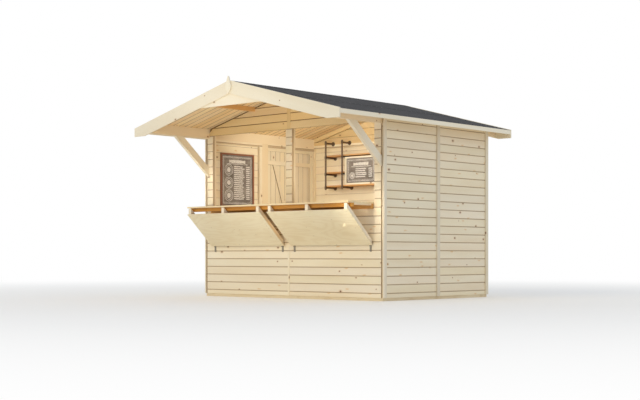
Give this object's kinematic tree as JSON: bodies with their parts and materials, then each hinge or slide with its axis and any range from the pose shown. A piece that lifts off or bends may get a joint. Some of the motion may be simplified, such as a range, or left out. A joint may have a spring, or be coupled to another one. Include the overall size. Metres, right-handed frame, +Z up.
{
  "type": "timber garden bar",
  "caption": "Boarded timber serving hut with a gable roof running forward as a canopy, two serving openings, a counter on hinged flaps and a double side door.",
  "frame": {"origin": "middle of the hut's plan at ground level, on the underside of the middle bearer", "axes": "+X to the right seen from the front, +Y from the front wall to the back wall, +Z up"},
  "size_m": [3.45, 3.353, 2.6373],
  "materials": {
    "wall_timber": "matte",
    "bearer_timber": "matte",
    "floor_timber": "matte",
    "counter_timber": "matte",
    "flap_timber": "matte",
    "roof_timber": "matte",
    "trim_timber": "matte",
    "roofing_felt": "matte",
    "zinc_steel": "satin",
    "black_pipe": "satin",
    "shelf_timber": "satin",
    "writing_board": "matte"
  },
  "bodies": {
    "hut": {"apex_board": "trim_timber", "back_gable_left": "wall_timber", "back_gable_right": "wall_timber", "back_wall_left": "wall_timber", "back_wall_right": "wall_timber", "barge_boards_left": "trim_timber", "barge_boards_right": "trim_timber", "base_cross_bearers": "bearer_timber", "base_long_bearers": "bearer_timber", "corner_trims": "trim_timber", "counter_frame": "counter_timber", "counter_top": "counter_timber", "cover_strips": "trim_timber", "door_hinge_plates": "zinc_steel", "door_posts": "wall_timber", "door_threshold": "wall_timber", "eave_fascias": "trim_timber", "eave_purlins": "roof_timber", "finial": "trim_timber", "flap_hinge_plates": "zinc_steel", "floor": "floor_timber", "front_centre_post": "wall_timber", "front_corner_posts": "wall_timber", "front_gable_left": "wall_timber", "front_gable_right": "wall_timber", "front_wall_left": "wall_timber", "front_wall_right": "wall_timber", "knee_braces": "trim_timber", "left_wall_front": "wall_timber", "left_wall_over_door": "wall_timber", "menu_boards": "writing_board", "middle_purlins": "roof_timber", "right_wall_front": "wall_timber", "right_wall_rear": "wall_timber", "roof_boards_left": "roof_timber", "roof_boards_right": "roof_timber", "roof_felt": "roofing_felt", "shelf_pipes": "black_pipe", "sills": "counter_timber", "wall_shelf": "shelf_timber"},
    "front_door_leaf": {"door_leaf_front": "wall_timber", "door_fittings_front": "zinc_steel"},
    "rear_door_leaf": {"door_leaf_rear": "wall_timber", "door_fittings_rear": "zinc_steel"},
    "left_flap": {"flap_left": "flap_timber", "flap_hinges_left": "zinc_steel"},
    "right_flap": {"flap_right": "flap_timber", "flap_hinges_right": "zinc_steel"}
  },
  "joints": [
    {"name": "front_door_hinge", "type": "hinge", "parent": "hut", "child": "front_door_leaf", "pos_m": [-1.51, 0.0525, 1], "axis": [0, 0, 1], "range_deg": [0, 120]},
    {"name": "rear_door_hinge", "type": "hinge", "parent": "hut", "child": "rear_door_leaf", "pos_m": [-1.51, 0.9865, 1], "axis": [0, 0, -1], "range_deg": [0, 120]},
    {"name": "left_flap_hinge", "type": "hinge", "parent": "hut", "child": "left_flap", "pos_m": [-0.709, -1.057, 0.642], "axis": [1, 0, 0], "range_deg": [0, 115]},
    {"name": "right_flap_hinge", "type": "hinge", "parent": "hut", "child": "right_flap", "pos_m": [0.709, -1.057, 0.642], "axis": [1, 0, 0], "range_deg": [0, 115]}
  ]
}
